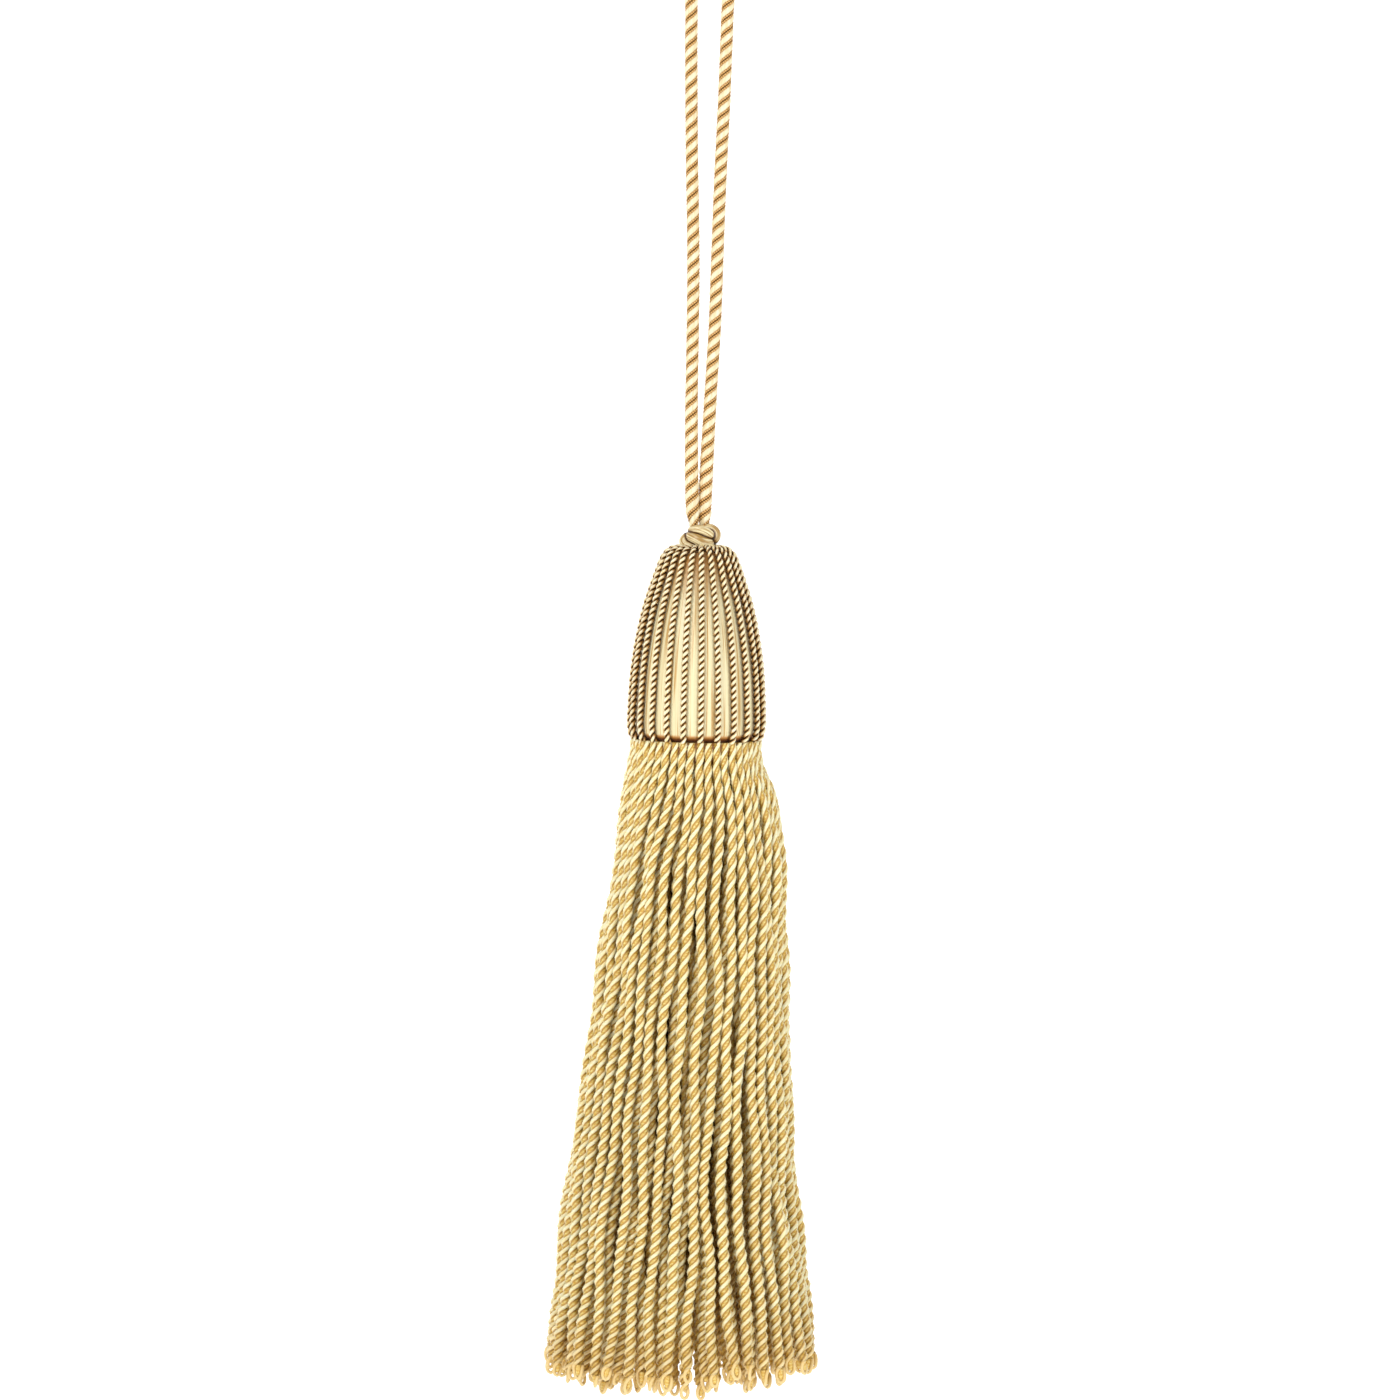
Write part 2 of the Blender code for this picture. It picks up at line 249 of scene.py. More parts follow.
# The heading's outline as drop below the head, radius
HEADING_PROFILE = ((0.3, 14.5), (1.6, 14.6), (3.3, 14.2), (6.0, 13.0), (9.0, 11.0))
STRAND_WIDTHS = ((0.0, 1.66), (0.02, 1.66), (0.09, 2.0), (0.2, 2.25), (0.44, 2.5), (1.0, 2.8))
SKIRT_LENGTH = 154.5
END_SCATTER = 3.5
OUTER_END_RISE = 2.0
SIDE_END_RISE = 2.0
END_TILT = 1.2
# Rings of strands as count, root radius, share of the skirt's radius higher up and at the end, tone,
# detail.
# The tone is painted shade, darker for the rings further in
STRAND_RINGS = (
    (46, 14.6, 1.0, 1.0, 1.0, "fine"),
    (38, 12.4, 0.85, 0.92, 0.98, "middling"),
    (30, 10.3, 0.69, 0.79, 0.92, "plain"),
    (20, 8.1, 0.52, 0.64, 0.75, "coarse"),
    (12, 5.6, 0.34, 0.46, 0.45, "coarse"),
)
# Strands that fill the skirt's inside, and are hardly seen; their low tone is painted shade
INNER_RINGS = (
    (8, 3.4, 0.2, 0.3, 0.4, "coarse"),
    (10, 7.0, 0.44, 0.56, 0.4, "coarse"),
)
# Rings of points in each half turn of a strand, whether its section is full
STRAND_DETAIL = {
    "fine": (5.0, True),
    "middling": (4.2, True),
    "plain": (3.6, False),
    "coarse": (3.0, False),
}
INNER_SCATTER = 0.3
INNER_SHORTER = (0.5, 8.0)
TONES = (0.94, 1.0)  # the strands' tones differ by this
# Painted shade: every strand darkens toward its end
END_TONE = 0.7  # every strand comes to this tone at its end
END_LIT = 14.0  # over this length
# The skirt's outline as drop below the head, sideways shift of its centre, half-width
SKIRT_OUTLINE = (
    (0.0, -0.4, 15.7),
    (4.0, -0.6, 16.3),
    (10.0, 0.6, 17.6),
    (14.7, 1.0, 18.4),
    (26.0, 1.2, 20.2),
    (41.8, 0.7, 21.5),
    (64.2, -0.3, 23.4),
    (89.7, -1.1, 26.1),
    (109.0, -1.8, 27.6),
    (125.5, -1.8, 29.6),
    (141.8, -1.5, 31.8),
    (153.8, -1.3, 32.7),
)
STRAND_STATIONS = (0.012, 0.04, 0.09, 0.20, 0.44, 0.71, 1.0)
OWN_LENGTH_FROM = 0.15  # a strand's stations past this one are drawn up or down to its own length
SPREAD_START = 2.0  # the strands leave their root rings here, and within this drop they fill the outline
SPREAD_DROP = 10.0
SPREAD_ROUNDS = 120
FAR_AWAY = 1000.0  # stands for a point's distance from itself
TINY = 1e-6
FAN_ANGLE = math.radians(9)
TURN_ANGLE = math.radians(-9)
FAN_DROP = 30.0
WOBBLE = 0.8
WOBBLE_DROP = 60.0
WOBBLE_WAVES = (9.0, 7.0)  # sideways and front to back, in radians from the head to the end
STRAND_STEP = 0.5
SWAY = 0.36
SWAY_DROP = 30.0  # the sway is whole from here on
SWAY_WAVES = ((5.1, 9.3), (5.7, 8.1))  # mm to a radian of each wave, sideways and front to back
# A bullion strand: two cream plies twisting round a gold core. Half its section, from the crest of a ply,
# as degrees, radius, tone, material number of the face that follows. The tone is painted shade, low in
# the grooves between the plies and the core
FULL_SECTION = (
    (0, 1.28, 1.0, 0),
    (30, 1.15, 0.97, 0),
    (45, 0.83, 0.3, 1),
    (90, 0.93, 1.0, 1),
    (135, 0.83, 0.3, 0),
    (150, 1.15, 0.97, 0),
)
SPARE_SECTION = ((0, 1.28, 1.0, 0), (40, 0.86, 0.45, 1), (90, 0.93, 1.0, 1), (140, 0.86, 0.45, 0))
PLY_RADIUS = 0.42
PLY_SIDES = 6
PLY_LAY = 1.6
CORE_SIDES = 7
CORE_LAY = 0.9
STRAND_GIRTHS = ((0.0, 0.82), (10.0, 0.88), (30.0, 0.98), (70.0, 1.04), (140.0, 1.15))  # its size by depth
GIRTH_SPREAD = (0.96, 1.04)
HALF_PITCH_TOP = 4.1
HALF_PITCH_FALL = 0.0107  # it twists tighter lower down
HALF_PITCH_SPREAD = (0.92, 1.08)
# The loop that ends it, as depth and half-width
END_LOOP = ((-0.5, 0.9), (0.0, 0.93), (0.9, 0.93), (1.8, 0.88), (2.5, 0.68), (2.95, 0.36), (3.1, 0.0))
# The core's end, as depth and radius, and for the strands whose loop is open
CORE_END = ((-0.8, 0.72), (1.0, 0.7), (1.9, 0.55), (2.4, 0.35))
OPEN_CORE_END = ((-0.8, 0.72), (0.6, 0.62), (1.1, 0.3))
OPEN_SHARE = 0.3
# Painted shade on the loops that end the strands
LOOP_TONE = 0.84
LOOP_SIZES = (0.85, 1.2)
LOOP_STEP = 0.55
STRAND_PIECES = 5

# Colours as low, high, middle, shade colour; the middle and shade colours paint shade where the tone is low
CORD_CREAM = ("E6D3A4", "F8ECCB", "B48C50", "26160A")
CORD_GOLD = ("98621E", "E2B670", "7C4E18", "1A0E04")
KNOT_SILK = ("B48C48", "FFF2C2", "8A6230", "241405")
HEAD_SATIN = ("CCA258", "FFFACC", "D89C50", "7E4616")
# The metal cord's near-white low and high colours paint a highlight on its yarns' crests
HEAD_CORD_METAL = ("F2DEA0", "FFFEE4", "BA8434", "321A04")
BULLION_CREAM = ("FFF0B0", "FFFEDC", "DDB25E", "48280A")
BULLION_GOLD = ("DCAC3C", "FFF4A4", "CC9C3C", "44260A")
HEADING_OCHRE = ("A8692A", "F3D98C", "8E5A24", "4A2A0E")
# The tones over which painted shade lifts: a colour comes up from the shade colour to the middle one, and
# from there to its own
SHADE_TONES = (0.0, 0.55)
MIDDLE_TONES = (0.45, 1.0)
STREAK_DETAIL = 2.0
TICK_RAGGEDNESS = 2.0
TICK_SCALE = math.tau / 20  # the wave texture's scale for one band in a mm
BUMP_HEIGHT = 0.1

# Lights: power of the white around, and of each lamp as place in m, width in m, watts
WORLD_LIGHT = 0.66
LAMP_AIM = (0.0, 0.0, -0.18)
LAMPS = {
    "key": ((-0.7, -1.3, 0.5), 0.7, 10.0),
    "fill": ((0.9, -1.1, 0.0), 0.9, 4.4),
}

# Stage, in m
STAGE_FLOOR = -2.4
STAGE_FRONT = -12.0
STAGE_BACK = 6.0
STAGE_TOP = 9.0
STAGE_HALF_WIDTH = 12.0
STAGE_BEND = 2.0
STAGE_BEND_STEPS = 12
STAGE_WHITE = 0.9
STAGE_ROUGHNESS = 0.9
STAGE_GLOW = 0.6


def linear(code):
    """A colour such as F2C77A as linear red, green, blue and alpha."""
    shares = [int(code[i : i + 2], 16) / 255 for i in (0, 2, 4)]
    return (*[s / 12.92 if s <= 0.04045 else ((s + 0.055) / 1.055) ** 2.4 for s in shares], 1.0)


# Curves


def distances(line):
    return np.concatenate([[0.0], np.cumsum(np.linalg.norm(np.diff(line, axis=0), axis=1))])


def spaced(line, step):
    """The line again, with points about a step apart."""
    along = distances(line)
    at = np.linspace(0.0, along[-1], max(2, round(along[-1] / step) + 1))
    return np.stack([np.interp(at, along, line[:, axis]) for axis in range(line.shape[1])], axis=1)


def smooth(points, step, samples=24):
    """A centripetal Catmull-Rom curve through the points, as points about a step apart."""
    p = np.array(points, float)
    p = np.vstack([2 * p[0] - p[1], p, 2 * p[-1] - p[-2]])
    dense = []
    for a, b, c, d in zip(p, p[1:], p[2:], p[3:]):
        t1 = np.linalg.norm(b - a) ** 0.5
        t2 = t1 + np.linalg.norm(c - b) ** 0.5
        t3 = t2 + np.linalg.norm(d - c) ** 0.5
        t = np.linspace(t1, t2, samples, endpoint=False)[:, None]
        ab = (a * (t1 - t) + b * t) / t1
        bc = (b * (t2 - t) + c * (t - t1)) / (t2 - t1)
        cd = (c * (t3 - t) + d * (t - t2)) / (t3 - t2)
        abc = (ab * (t2 - t) + bc * t) / t2
        bcd = (bc * (t3 - t) + cd * (t - t1)) / (t3 - t1)
        dense.append((abc * (t2 - t) + bcd * (t - t1)) / (t2 - t1))
    dense.append(p[-2][None])
    return spaced(np.vstack(dense), step)


def frames(line):
    """A side and an up direction at each point of a line, carried along it without twisting."""
    tangents = np.gradient(line, axis=0)
    tangents /= np.linalg.norm(tangents, axis=1)[:, None]
    axis = np.eye(3)[np.argmin(np.abs(tangents[0]))]
    sides = []
    for tangent in tangents:
        axis = axis - tangent * (axis @ tangent)
        axis = axis / math.sqrt(axis @ axis)
        sides.append(axis)
    sides = np.array(sides)
    return sides, np.cross(tangents, sides)


def spokes(line, angles):
    """The directions out from each point of a line, at angles that are in one row or in a row for each
    point."""
    across, up = frames(line)
    angles = np.broadcast_to(angles, (len(line), angles.shape[-1]))[:, :, None]
    return across[:, None] * np.cos(angles) + up[:, None] * np.sin(angles)


def tube_grain(angles, along, number):
    """The grain of a tube's points: their place on a circle of radius 1, and how far along they are."""
    length = along[:, None] + GRAIN_APART * number
    parts = (np.cos(angles), np.sin(angles), length)
    return np.stack([np.broadcast_to(part, (len(along), angles.shape[-1])) for part in parts], axis=-1)


def from_low(low, share):
    """low where the share is 0, and 1 where it is 1."""
    return low + (1.0 - low) * share


def wound(line, turns, offset):
    """A helix round the line, right-handed where the turns grow along it."""
    across, up = frames(line)
    angle = (math.tau * turns)[:, None]
    return line + (across * np.cos(angle) + up * np.sin(angle)) * offset


def on_head(points):
    """Points in the head's own axes, with the crown at the origin, put into the row's frame."""
    points = np.asarray(points, float)
    x, y, z = points[..., 0], points[..., 1], points[..., 2]
    c, s = math.cos(HEAD_LEAN), math.sin(HEAD_LEAN)
    return np.stack([x * c + z * s, y, z * c - x * s], axis=-1) + np.array(CROWN)


def crest(axis_line, reach, low, high):
    """Paints shade on a tube that winds round a line, for its grooves: 0 below the low share of its reach
    from the line, and 1 over the high one."""

    def shade(points):
        out = np.linalg.norm(points - axis_line[:, None], axis=2) / reach
        return np.clip((out - low) / (high - low), 0.0, 1.0)

    return shade


class Weave:
    """Tubes and other grids gathered into one mesh. Each point has a grain, which the materials streak
    along, and a tone from 0 in the grooves to 1, which paints shade into its colour."""

    def __init__(self):
        self.points = []
        self.grains = []
        self.tones = []
        self.faces = []
        self.finishes = []
        self.count = 0

    def grid(self, points, grain, tone, finish=0):
        """points is rows x columns x 3. The columns close into rings, and the first and last rings are
        capped. The finish is a material number, or one for each column."""
        rows, columns = points.shape[:2]
        first = self.count + np.arange(rows - 1)[:, None] * columns
        low = first + np.arange(columns)[None]
        low_next = first + (np.arange(columns) + 1)[None] % columns
        quads = np.stack([low, low_next, low_next + columns, low + columns], axis=-1).reshape(-1, 4)
        start = self.count
        last = self.count + (rows - 1) * columns
        self.faces += quads.tolist()
        self.faces.append(list(range(start + columns - 1, start - 1, -1)))
        self.faces.append(list(range(last, last + columns)))
        self.finishes += np.broadcast_to(finish, (rows - 1, columns)).ravel().tolist()
        self.finishes += [np.max(finish)] * 2
        self.points.append(points.reshape(-1, 3))
        self.grains.append(np.broadcast_to(grain, points.shape).reshape(-1, 3))
        self.tones.append(np.broadcast_to(tone, (rows, columns)).reshape(-1))
        self.count += rows * columns

    def tube(self, line, radius, sides, finish=0, tone=1.0, lay=0.0, number=0, shade=None):
        """A tube along the line. lay is how far its fibres turn per mm. shade gives a share of the tone by
        point."""
        along = distances(line)
        angles = np.arange(sides) * math.tau / sides
        radius = np.broadcast_to(radius, len(line))
        points = line[:, None] + spokes(line, angles) * radius[:, None, None]
        if shade is not None:
            tone = tone * shade(points)
        self.grid(points, tube_grain(angles[None] + lay * along[:, None], along, number), tone, finish)

    def build(self, name, finishes, nodes):
        """One piece of the scene, which stands for those CAD nodes."""
        mesh = bpy.data.meshes.new(name)
        mesh.from_pydata(np.concatenate(self.points) * MM, [], self.faces)
        for finish in finishes:
            mesh.materials.append(finish)
        mesh.polygons.foreach_set("material_index", self.finishes)
        mesh.polygons.foreach_set("use_smooth", [True] * len(self.faces))
        grain = mesh.attributes.new("grain", "FLOAT_VECTOR", "POINT")
        grain.data.foreach_set("vector", np.concatenate(self.grains).astype(np.float32).ravel())
        tone = mesh.attributes.new("tone", "FLOAT", "POINT")
        tone.data.foreach_set("value", np.concatenate(self.tones).astype(np.float32))
        mesh.update()
        made = bpy.data.objects.new(name, mesh)
        bpy.context.collection.objects.link(made)
        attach(made, "root")
        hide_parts(*nodes)
        return made


# Materials


def streaks(tree, fine, lengthwise, ticks, tick_share):
    """Noise drawn out along the grain. ticks is how many bands cross the grain in a mm, and tick_share is
    how much they count."""
    nodes, links = tree.nodes, tree.links
    grain = nodes.new("ShaderNodeAttribute")
    grain.attribute_name = "grain"
    stretch = nodes.new("ShaderNodeVectorMath")
    stretch.operation = "MULTIPLY"
    stretch.inputs[1].default_value = (fine, fine, lengthwise)
    links.new(grain.outputs["Vector"], stretch.inputs[0])
    noise = nodes.new("ShaderNodeTexNoise")
    noise.inputs["Scale"].default_value = 1.0
    noise.inputs["Detail"].default_value = STREAK_DETAIL
    links.new(stretch.outputs[0], noise.inputs["Vector"])
    if not ticks:
        return noise.outputs["Fac"]
    wave = nodes.new("ShaderNodeTexWave")
    wave.bands_direction = "Z"
    wave.inputs["Scale"].default_value = TICK_SCALE * ticks
    wave.inputs["Distortion"].default_value = TICK_RAGGEDNESS
    wave.inputs["Detail Scale"].default_value = TICK_RAGGEDNESS
    links.new(grain.outputs["Vector"], wave.inputs["Vector"])
    blend = nodes.new("ShaderNodeMix")
    blend.inputs["Factor"].default_value = tick_share
    links.new(noise.outputs["Fac"], blend.inputs["A"])
    links.new(wave.outputs["Fac"], blend.inputs["B"])
    return blend.outputs["Result"]


def thread(
    name,
    colours,
    roughness,
    fine,
    lengthwise,
    metallic=0.0,
    relief=0.1,
    sheen=0.0,
    ticks=0.0,
    tick_share=0.0,
    ramp_ends=(0.36, 0.62),
):
    """Streaked along the grain between the low and the high colour. Where the tone is low it goes through
    the middle colour to the shade colour, which is painted shade. fine and lengthwise are how fast the
    streaks change across and along the grain."""
    low, high, middle, shade_colour = colours
    made = bpy.data.materials.new(name)
    made.use_nodes = True
    nodes, links = made.node_tree.nodes, made.node_tree.links
    shader = nodes["Principled BSDF"]
    shader.inputs["Roughness"].default_value = roughness
    shader.inputs["Metallic"].default_value = metallic
    shader.inputs["Sheen Weight"].default_value = sheen
    streak = streaks(made.node_tree, fine, lengthwise, ticks, tick_share)
    ramp = nodes.new("ShaderNodeValToRGB")
    for element, position, code in zip(ramp.color_ramp.elements, ramp_ends, (low, high)):
        element.position = position
        element.color = linear(code)
    links.new(streak, ramp.inputs["Fac"])
    tone = nodes.new("ShaderNodeAttribute")
    tone.attribute_name = "tone"
    colour = ramp.outputs["Color"]
    for (start, end), below in ((MIDDLE_TONES, middle), (SHADE_TONES, shade_colour)):
        share = nodes.new("ShaderNodeMapRange")
        share.inputs["From Min"].default_value = start
        share.inputs["From Max"].default_value = end
        links.new(tone.outputs["Fac"], share.inputs["Value"])
        mix = nodes.new("ShaderNodeMix")
        mix.data_type = "RGBA"
        mix.inputs["A"].default_value = linear(below)
        links.new(share.outputs["Result"], mix.inputs["Factor"])
        links.new(colour, mix.inputs["B"])
        colour = mix.outputs["Result"]
    links.new(colour, shader.inputs["Base Color"])
    bump = nodes.new("ShaderNodeBump")
    bump.inputs["Strength"].default_value = relief
    bump.inputs["Distance"].default_value = BUMP_HEIGHT * MM
    links.new(streak, bump.inputs["Height"])
    links.new(bump.outputs["Normal"], shader.inputs["Normal"])
    return made


# Pieces


def hanging_cord():
    line = smooth(CORD_ROUTE, CORD_STEP)
    along = distances(line)
    turns = along / CORD_PITCH
    from_end = np.minimum(along, along[-1] - along)
    size = np.interp(from_end, *np.array(CORD_SIZES).T)
    weave = Weave()
    for number, (turn, offset, radius, finish) in enumerate(CORD_YARNS):
        yarn = wound(line, turns + turn, (offset * size)[:, None])
        shade = crest(line, ((offset + radius) * size)[:, None], *CORD_CRESTS[finish])
        weave.tube(yarn, radius * size, CORD_YARN_SIDES, finish, 1.0, CORD_YARN_LAY, number, shade)
    # The core is painted at tone 0: a dark core that stands for the shade between the gold yarns
    weave.tube(line[::CORD_CORE_EVERY], CORD_CORE_RADIUS, CORD_CORE_SIDES, 1, 0.0)
    cream = thread("cord cream", CORD_CREAM, roughness=0.5, fine=1.6, lengthwise=0.35, sheen=0.1)
    gold = thread(
        "cord gold",
        CORD_GOLD,
        roughness=0.42,
        fine=2.4,
        lengthwise=1.6,
        relief=0.3,
        ticks=1.9,
        tick_share=0.5,
    )
    made = weave.build("looped_cord", [cream, gold], ["hanging_cord"])


def knot_core(angles):
    """The lump inside the bands, as rings from its bottom to its top."""
    rise = math.pi * np.linspace(KNOT_CORE_POLE, 1.0 - KNOT_CORE_POLE, KNOT_CORE_RINGS)[:, None]
    x = np.sin(rise) * np.cos(angles)
    y = np.sin(rise) * np.sin(angles)
    z = np.broadcast_to(-np.cos(rise), x.shape)
    return np.stack([x, y, z], axis=-1) * np.array(KNOT_CORE) + np.array(KNOT_CENTRE)


def knot():
    """Ridged bands over a core, with painted shade between the ridges and where the bands meet."""
    weave = Weave()
    angles = np.arange(KNOT_SIDES) * math.tau / KNOT_SIDES
    ridges = 1.0 + KNOT_RELIEF * np.cos(angles * KNOT_RIDGES)
    tones = (0.5 + 0.5 * np.cos(angles * KNOT_RIDGES)) ** 0.5
    lines = [smooth(points, KNOT_STEP) + np.array(KNOT_CENTRE) for _, points in KNOT_BANDS]
    for number, (half, _) in enumerate(KNOT_BANDS):
        line = lines[number]
        along = distances(line)
        middle = np.clip(np.sin(math.pi * along / along[-1]) * KNOT_SWELL, 0.0, 1.0)
        width = half * from_low(KNOT_END_WIDTH, middle)
        places = line[:, None] + spokes(line, angles) * (width[:, None] * ridges[None])[:, :, None]
        # Painted shade between the ridges, and where the band comes near another
        tone = from_low(KNOT_FURROW_TONE, tones[None])
        for other, (other_half, _) in enumerate(KNOT_BANDS):
            if other != number:
                apart = np.linalg.norm(places[:, :, None] - lines[other][None, None], axis=3)
                away = apart.min(axis=2) - other_half
                tone = tone * np.clip(away / KNOT_CREVICE, 0.0, 1.0)
        weave.grid(places, tube_grain(angles, along, number), tone)
    # The core is painted dark as shade
    core = knot_core(angles)
    weave.grid(core, core * KNOT_CORE_GRAIN, KNOT_CORE_TONE)
    silk = thread(
        "knot silk",
        KNOT_SILK,
        roughness=0.32,
        fine=3.0,
        lengthwise=0.25,
        relief=0.3,
        ramp_ends=(0.36, 0.54),
    )
    weave.build("crown_knot", [silk], ["knot"])


def mould_outline(step):
    """The mould's side as radius and height, with the direction out of it, from close under the knot."""
    profile = np.array(MOULD_TOP + MOULD_PROFILE, float)
    outline = smooth(np.stack([profile[:, 1], -profile[:, 0]], axis=1), step)
    run = np.gradient(outline, axis=0)
    run /= np.linalg.norm(run, axis=1)[:, None]
    return outline, np.stack([-run[:, 1], run[:, 0]], axis=1)


def head_satin():
    """Floss laid down the mould, a little full between the raised cords. Shade is painted at the
    turned-under rim, under the knot, in the floss furrows and beside the cords.
    """
    outline, outward = mould_outline(SATIN_STEP)
    columns = HEAD_CORDS * SATIN_COLUMNS_A_BAND
    angles = np.arange(columns) * math.tau / columns
    turn = (angles / math.tau * HEAD_CORDS - HEAD_CORD_TURN) % HEAD_CORDS
    band = turn % 1.0
    rng = random.Random(SEED + 1)
    depths = np.array([rng.uniform(*FLOSS_DEPTHS) for _ in range(HEAD_CORDS * FLOSS_RIDGES)])
    depth = depths[(turn * FLOSS_RIDGES).astype(int)]
    floss = np.abs(np.sin(math.pi * band * FLOSS_RIDGES)) ** SATIN_ROUNDNESS
    across = np.sin(math.pi * band)
    puff = SATIN_PUFF * across**SATIN_ROUNDNESS + FLOSS_RELIEF * floss * depth
    rows = []
    for (radius, height), (out, rise) in zip(outline, outward):
        lift = puff * radius / SATIN_PUFF_RADIUS
        r = radius + lift * out
        rows.append(np.stack([r * np.cos(angles), r * np.sin(angles), height + lift * rise], axis=-1))
    places = np.array(rows)[::-1]
    drop = -places[:, :, 2]
    # Painted shade at the rim, under the knot, in the furrows and beside the cords
    rim = np.clip((RIM_DROP + RIM_FADE - drop) / RIM_FADE, 0.0, 1.0)
    crown = np.clip(from_low(CROWN_TONE, drop / CROWN_SHADE), 0.0, 1.0)
    furrows = from_low(FLOSS_FURROW_TONE, (floss * depth) ** 0.5)
    edges = from_low(SATIN_EDGE_TONE, np.clip(across * SATIN_EDGE_RISE, 0.0, 1.0))
    tone = rim * crown * (furrows * edges)[None]
    x = GRAIN_RADIUS * np.broadcast_to(np.cos(angles), drop.shape)
    y = GRAIN_RADIUS * np.broadcast_to(np.sin(angles), drop.shape)
    weave = Weave()
    weave.grid(on_head(places), np.stack([x, y, drop], axis=-1), tone)
    satin = thread(
        "head satin",
        HEAD_SATIN,
        roughness=0.36,
        fine=2.2,
        lengthwise=0.04,
        relief=0.4,
        sheen=0.1,
        ramp_ends=(0.36, 0.5),
    )
    weave.build("satin_head", [satin], ["head_mould"])


def couched(path, out, reach):
    """Paints shade on the yarns of a head cord: dark in the grooves by their crests, and toward the satin.
    """
    rounded = crest(path, reach, *HEAD_CREST)
    low, high = HEAD_TOP_LIGHT

    def shade(points):
        above = ((points - path[:, None]) * out[:, None]).sum(axis=2) / reach
        return rounded(points) * np.clip((above - low) / (high - low), 0.0, 1.0)

    return shade


def head_cords():
    """Raised two-ply metal cords, couched down over the satin."""
    outline, outward = mould_outline(HEAD_CORD_FINE_STEP)
    line = outline + outward * (GAP + HEAD_CORD_LIFT)
    keep = (line[:, 0] >= HEAD_CORD_INNER_RADIUS) & (outline[:, 1] > HEAD_CORD_LOWEST - HEAD_HEIGHT)
    line = spaced(np.hstack([line[keep], outward[keep]]), HEAD_CORD_STEP)
    radius, height, out_radius, out_height = line.T
    rng = random.Random(SEED + 2)
    weave = Weave()
    names = []
    for number in range(HEAD_CORDS):
        angle = math.tau * (number + HEAD_CORD_TURN) / HEAD_CORDS
        x, y = math.cos(angle), math.sin(angle)
        path = on_head(np.stack([radius * x, radius * y, height], axis=1))
        out = on_head(np.stack([out_radius * x, out_radius * y, out_height], axis=1)) - np.array(CROWN)
        along = distances(path)
        size = np.minimum(1.0, HEAD_CORD_NARROW + HEAD_CORD_SWELL * along / along[-1])
        shade = couched(path, out, ((HEAD_YARN_OFFSET + HEAD_YARN_RADIUS) * size)[:, None])
        turns = along / HEAD_CORD_PITCH + rng.random()
        for ply in (0.0, 0.5):
            yarn = wound(path, turns + ply, (HEAD_YARN_OFFSET * size)[:, None])
            own = 2 * number + ply
            weave.tube(yarn, HEAD_YARN_RADIUS * size, HEAD_YARN_SIDES, 0, 1.0, HEAD_YARN_LAY, own, shade)
        names.append(f"head_cord_{number + 1:02d}")
    metal = thread(
        "metallic cord",
        HEAD_CORD_METAL,
        roughness=0.34,
        fine=2.4,
        lengthwise=1.2,
        metallic=0.1,
        relief=0.3,
    )
    weave.build("raised_head_cords", [metal], names)


def outline_at(drop):
    table = np.array(SKIRT_OUTLINE)
    return [float(np.interp(drop, table[:, 0], table[:, column])) for column in (1, 2)]


def ease(share):
    share = min(1.0, max(0.0, share))
    return share * share * (3 - 2 * share)


def strand_width(share):
    table = np.array(STRAND_WIDTHS)
    return float(np.interp(share, table[:, 0], table[:, 1]))


def spread_apart(places, centre, reach, least):
    """Moves points on one level until no two are nearer than least, and none lies past the outline."""
    for _ in range(SPREAD_ROUNDS):
        between = places[:, None] - places[None]
        far = np.linalg.norm(between, axis=2) + np.eye(len(places)) * FAR_AWAY
        push = np.clip(least - far, 0.0, None) / far
        places = places + 0.5 * (between * push[:, :, None]).sum(axis=1)
        out = places - centre
        far_out = np.linalg.norm(out, axis=1)
        places = centre + out * np.minimum(1.0, reach / np.maximum(far_out, TINY))[:, None]
    return places


def strand_lines():
    """Each strand's points below the head, as the solid's strands have them, and its tone."""
    rng = random.Random(SEED)
    strands = []
    for ring, (count, root, upper, lower, tone, detail) in enumerate(STRAND_RINGS):
        for number in range(count):
            angle = math.tau * (number + 0.5 * (ring % 2)) / count
            rightward = math.cos(angle) * upper
            strands.append(
                {
                    "angle": angle,
                    "root": root,
                    "shares": (upper, lower),
                    "finish": (tone, detail),
                    "phase": (rng.uniform(0, math.tau), rng.uniform(0, math.tau)),
                    "end": SKIRT_LENGTH
                    - rng.uniform(0, END_SCATTER)
                    - OUTER_END_RISE * upper**4
                    - SIDE_END_RISE * rightward**2
                    - END_TILT * rightward,
                }
            )
    levels = []
    for station in STRAND_STATIONS:
        drop = station * SKIRT_LENGTH
        shift, half = outline_at(drop)
        spread = ease((drop - SPREAD_START) / SPREAD_DROP)
        width = strand_width(station)
        reach = half - width / 2
        wobble = WOBBLE * ease(drop / WOBBLE_DROP)
        places = []
        for strand in strands:
            fan = ease(drop / FAN_DROP) * (TURN_ANGLE + FAN_ANGLE * math.cos(strand["angle"]))
            upper, lower = strand["shares"]
            share = upper + (lower - upper) * ease(station)
            radius = strand["root"] * (1 - spread) + share * reach * spread
            angle = strand["angle"] + fan
            waves = [phase + wave * station for phase, wave in zip(strand["phase"], WOBBLE_WAVES)]
            x = shift * spread + radius * math.cos(angle) + wobble * math.sin(waves[0])
            places.append((x, radius * math.sin(angle) + wobble * math.sin(waves[1])))
        centre = np.array([shift * spread, 0.0])
        levels.append(spread_apart(np.array(places), centre, max(reach, STRAND_RINGS[0][1]), width + GAP))
    lines = []
    for number, strand in enumerate(strands):
        end = strand["end"] / SKIRT_LENGTH
        points = [(*levels[0][number], -HEADING_TOP)]
        for level, station in zip(levels, STRAND_STATIONS):
            drawn = end if station > OWN_LENGTH_FROM else 1.0
            points.append((*level[number], -station * SKIRT_LENGTH * drawn))
        lines.append((*strand["finish"], points))
    return lines


